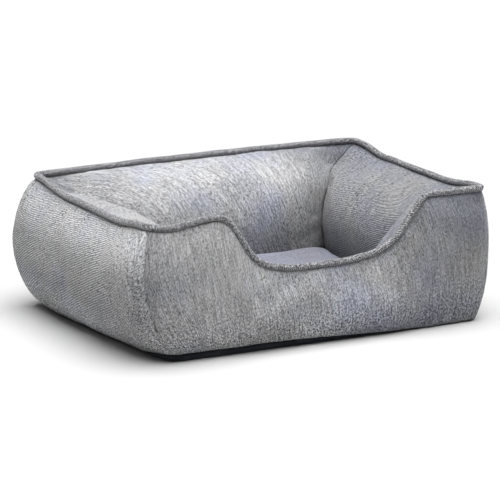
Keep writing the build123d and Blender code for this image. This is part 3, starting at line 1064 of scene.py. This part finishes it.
# ---- cushion
CUSHION_CORNER = 30.0 * MM
CUSHION_LEVELS = 9
CUSHION_ROUND = 2.5 * MM        # how far its sides are pulled in at the two seams
CUSHION_DOME = 3.0 * MM
SIDE_WAIST = 2.5 * MM           # how far the middle of each end, and of the front, is pulled in
FRONT_WAIST = 3.0 * MM
SEAM_DEPTH = 1.6 * MM
SEAM_WIDTH = 2.2 * MM


def make_cushion():
    """The cushion: a box filled by a cloth run, with a flat underside and two seams round it."""
    half_x = CUSHION_HIGH.x - 4 * MM
    half_y = CUSHION_HIGH.y
    foot = CUSHION_LOW.z + 3 * MM
    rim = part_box("cushion_boxing")[1].z + 3 * MM
    outline = rounded_outline(half_x, half_y, CUSHION_CORNER, 6 * MM)
    points = []
    for level in range(CUSHION_LEVELS):
        share = level / (CUSHION_LEVELS - 1)
        out = CUSHION_ROUND * (math.sin(math.pi * share) - 1)
        for index, spot in enumerate(outline):
            points.append(spot + straight_out(outline, index) * out
                          + np.array([0, 0, foot + (rim - foot) * share]))
    piece = new_mesh("cushion_cover", points, tube_faces(CUSHION_LEVELS, len(outline)))
    remesh = piece.modifiers.new("even", "REMESH")
    remesh.mode = "VOXEL"
    remesh.voxel_size = 5.5 * MM
    apply_modifiers(piece)
    weights = np.zeros(len(piece.data.vertices))
    inflate(piece, weights, pressure=3.0, slack=0.01, frames=16, bending=0.4)
    shape_cushion(piece, half_x, half_y, rim)
    subdivide(piece)
    pull_in_seams(piece, (CUSHION_LOW.z + 7 * MM, rim - 6 * MM))
    piece.data.shade_smooth()
    map_cloth(piece)
    wear(piece, CUSHION_CLOTH)
    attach(piece, "cushion")
    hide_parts("cushion_top_panel", "cushion_boxing", "cushion_bottom_panel",
                "cushion_fill")


def shape_cushion(piece, half_x, half_y, rim):
    """Presses the underside flat, domes the top, and pulls in the middle of the sides."""
    points = coordinates(piece.data)
    floor = CUSHION_LOW.z
    for point in points:
        edge = min(half_x - abs(point[0]), half_y - abs(point[1]))
        dome = CUSHION_DOME * smooth_step(edge, 0, 45 * MM)
        spot = Vector((point[0], point[1], 0))
        wrinkle = noise.noise(spot * 16) * 1.4 * MM + noise.noise(spot * 38) * 0.6 * MM
        point[2] += smooth_step(point[2], floor, rim - floor) * (dome + wrinkle)
        point[2] = max(min(point[2], CUSHION_HIGH.z + 1.0 * MM), floor)
        waist_x = SIDE_WAIST * (1 - (point[1] / half_y) ** 2)
        waist_y = FRONT_WAIST * (1 - (point[0] / half_x) ** 2) if point[1] < 0 else 0.0
        point[0] = math.copysign(min(abs(point[0]), half_x - waist_x), point[0])
        point[1] = math.copysign(min(abs(point[1]), half_y - waist_y), point[1])
    set_coordinates(piece.data, points)


def pull_in_seams(piece, heights):
    """A groove round the side at each seam height."""
    def move(point):
        return -SEAM_DEPTH * sum(math.exp(-((point[2] - height) / SEAM_WIDTH) ** 2)
                                 for height in heights)
    displace_cloth(piece, move)


def map_cloth(piece):
    """A cloth map in metres, taken from above on flat faces and from the side on upright ones."""
    mesh = piece.data
    layer = mesh.uv_layers.new(name="cloth")
    for polygon in mesh.polygons:
        upright = abs(polygon.normal.z) < 0.5
        facing_x = abs(polygon.normal.x) > abs(polygon.normal.y)
        for loop in polygon.loop_indices:
            spot = mesh.vertices[mesh.loops[loop].vertex_index].co
            if not upright:
                layer.data[loop].uv = (spot.y, spot.x)
            else:
                layer.data[loop].uv = (spot.y if facing_x else spot.x, spot.z)


# ---- zip on the cushion's back
TAPE_COLUMNS = 131
TAPE_ROWS = 13
TAPE_HALF = 0.22 * MM           # half the gap between the tape's two faces
STITCH = 2.2 * MM
STITCH_PITCH = 3.1 * MM
STITCH_RISE = 0.25 * MM
STITCH_RADIUS = 0.22 * MM
COIL_PITCH = 2.2 * MM
COIL_RADIUS = 0.34 * MM


def tape_sheet(low, high, turned):
    """Points and faces of one face of the tape, to the front or to the back of its middle."""
    points = []
    for column in range(TAPE_COLUMNS):
        for row in range(TAPE_ROWS):
            x = low.x + (high.x - low.x) * column / (TAPE_COLUMNS - 1)
            z = low.z + (high.z - low.z) * row / (TAPE_ROWS - 1)
            wave = 0.12 * MM * noise.noise(Vector((x * 60, 0.3, z * 120)))
            points.append((x, 0.5 * (low.y + high.y) + wave + turned * TAPE_HALF, z))
    faces = grid_faces(TAPE_COLUMNS, TAPE_ROWS)
    if turned > 0:
        faces = [face[::-1] for face in faces]
    return points, faces


def stitch(x, y, z):
    """One stitch: a short thread that arches over the tape."""
    line = [(x + share * STITCH, y + STITCH_RISE * math.sin(math.pi * share), z)
            for share in (0, 0.25, 0.75, 1)]
    return thread(line, STITCH_RADIUS)


def make_zip_tape():
    """Two close sheets of tape with a row of stitches along each edge."""
    low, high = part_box("zip_tape")
    solids = [tape_sheet(low, high, turned) for turned in (-1, 1)]
    face_y = 0.5 * (low.y + high.y) + 0.3 * MM
    for z in (low.z + 2.5 * MM, high.z - 2.5 * MM):
        for step in range(int((high.x - low.x - 8 * MM) / STITCH_PITCH)):
            solids.append(stitch(low.x + 4 * MM + step * STITCH_PITCH, face_y, z))
    piece = joined("zip_tape_cover", solids)
    wear(piece, ZIP_TAPE)
    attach(piece, "cushion")
    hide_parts("zip_tape")


def make_zip_coil():
    """Two meshed nylon coils."""
    low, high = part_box("zip_coil")
    middle_y = 0.5 * (low.y + high.y)
    middle_z = 0.5 * (low.z + high.z)
    marks = np.arange(low.x, high.x, COIL_PITCH / 10)
    turns = 2 * math.pi * marks / COIL_PITCH
    solids = []
    for side in (-1, 1):
        line = np.stack([
            marks,
            middle_y + 0.6 * MM * np.cos(turns),
            middle_z + side * (0.9 * MM + 1.2 * MM * np.sin(turns)),
        ], 1)
        solids.append(thread(line, COIL_RADIUS))
    piece = joined("zip_coil_cover", solids)
    wear(piece, ZIP_NYLON)
    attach(piece, "cushion")
    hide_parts("zip_coil")


def make_zip_slider():
    """A plate over the coil with two side lips, a bridge and a flat pull tab with a hole."""
    low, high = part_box("zip_slider")
    face = high.y - 1.2 * MM
    length = high.x - low.x
    middle_z = 0.5 * (low.z + high.z)
    tab_low, tab_high = low.x + 0.35 * length, high.x
    boxes = [
        ((low.x, face, low.z), (high.x, face + 0.7 * MM, high.z)),
        ((low.x, low.y, low.z), (high.x, face + 0.5 * MM, low.z + 1.4 * MM)),
        ((low.x, low.y, high.z - 1.4 * MM), (high.x, face + 0.5 * MM, high.z)),
        ((low.x + 0.12 * length, face + 0.5 * MM, middle_z - 0.8 * MM),
         (low.x + 0.62 * length, high.y, middle_z + 0.8 * MM)),
    ]
    for z_low, z_high in ((middle_z - 2.6 * MM, middle_z - 1.2 * MM),
                          (middle_z + 1.2 * MM, middle_z + 2.6 * MM)):
        boxes.append(((tab_low, face + 0.6 * MM, z_low), (tab_high, high.y, z_high)))
    for x_low, x_high in ((tab_low, tab_low + 1.4 * MM), (tab_high - 1.6 * MM, tab_high)):
        boxes.append(((x_low, face + 0.6 * MM, middle_z - 2.6 * MM),
                      (x_high, high.y, middle_z + 2.6 * MM)))
    piece = bevelled_boxes("zip_slider_cover", boxes, 0.22 * MM)
    wear(piece, ZIP_METAL)
    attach(piece, "zip_pull")
    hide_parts("zip_slider")


def make_zip_stops():
    """A bent metal clip over the coil at each end."""
    low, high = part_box("zip_stops")
    boxes = []
    for x_low, x_high in ((low.x, low.x + 2.4 * MM), (high.x - 2.4 * MM, high.x)):
        boxes.append(((x_low, high.y - 0.7 * MM, low.z), (x_high, high.y, high.z)))
        boxes.append(((x_low, low.y, low.z), (x_high, high.y - 0.3 * MM, low.z + 0.8 * MM)))
        boxes.append(((x_low, low.y, high.z - 0.8 * MM), (x_high, high.y - 0.3 * MM, high.z)))
    piece = bevelled_boxes("zip_stops_cover", boxes, 0.2 * MM)
    wear(piece, ZIP_METAL)
    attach(piece, "cushion")
    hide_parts("zip_stops")


# ---- build
filled_walls, first_columns = fill_ring()
make_panels(filled_walls, first_columns)
make_piping(filled_walls[:, OUTER_ROWS])
make_base()
make_lining()
make_cushion()
make_zip_tape()
make_zip_coil()
make_zip_slider()
make_zip_stops()


# ---- floor, light, camera
CAMERA_TARGET = Vector((-13.4, 0, 111.9)) * MM
CAMERA_DISTANCE = 5221.7 * MM


def make_floor():
    bpy.ops.mesh.primitive_plane_add(size=80)
    floor = bpy.context.object
    floor.name = "floor"
    floor.data.materials.append(Nodes("floor_paint").finish((0.44, 0.44, 0.44)))


def make_world():
    """A dim studio with a white band round the horizon, as the backdrop of low views."""
    world = bpy.data.worlds.new("studio")
    world.use_nodes = True
    tree = world.node_tree
    where = tree.nodes.new("ShaderNodeTexCoord")
    split = tree.nodes.new("ShaderNodeSeparateXYZ")
    ramp = tree.nodes.new("ShaderNodeValToRGB")
    for element, (height, grey) in zip(ramp.color_ramp.elements, ((0.06, 1), (0.14, 0.12))):
        element.position = height
        element.color = (grey, grey, grey, 1)
    tree.links.new(where.outputs["Generated"], split.inputs[0])
    tree.links.new(split.outputs["Z"], ramp.inputs[0])
    tree.links.new(ramp.outputs[0], tree.nodes["Background"].inputs[0])
    bpy.context.scene.world = world


def make_sun():
    """A wide overhead sun, as soft as a studio's ceiling."""
    sun = bpy.data.lights.new("overhead", "SUN")
    sun.energy = 7.2
    sun.angle = math.radians(65)
    direction = Vector((0.02, -0.16, 1.0))
    new_object("overhead", sun).rotation_euler = direction.to_track_quat("Z", "Y").to_euler()


def make_side_light():
    light = bpy.data.lights.new("side", "AREA")
    light.shape = "DISK"
    light.size = 0.9
    light.energy = 1
    lamp = new_object("side", light)
    lamp.location = (-1.5, -0.2, 1.6)
    aim = Vector((0, 0, 0.12)) - lamp.location
    lamp.rotation_euler = aim.to_track_quat("-Z", "Y").to_euler()


def make_camera():
    camera = bpy.data.cameras.new("camera")
    camera.lens = 223.2
    camera.sensor_width = 36
    yaw = math.radians(27.657)
    rise = math.radians(13.970)
    back = Vector((-math.sin(yaw) * math.cos(rise), -math.cos(yaw) * math.cos(rise),
                   math.sin(rise)))
    holder = new_object("camera", camera)
    holder.location = CAMERA_TARGET + back * CAMERA_DISTANCE
    holder.rotation_euler = back.to_track_quat("Z", "Y").to_euler()
    bpy.context.scene.camera = holder


make_floor()
make_world()
make_sun()
make_side_light()
make_camera()
bpy.context.scene.view_settings.view_transform = "Standard"
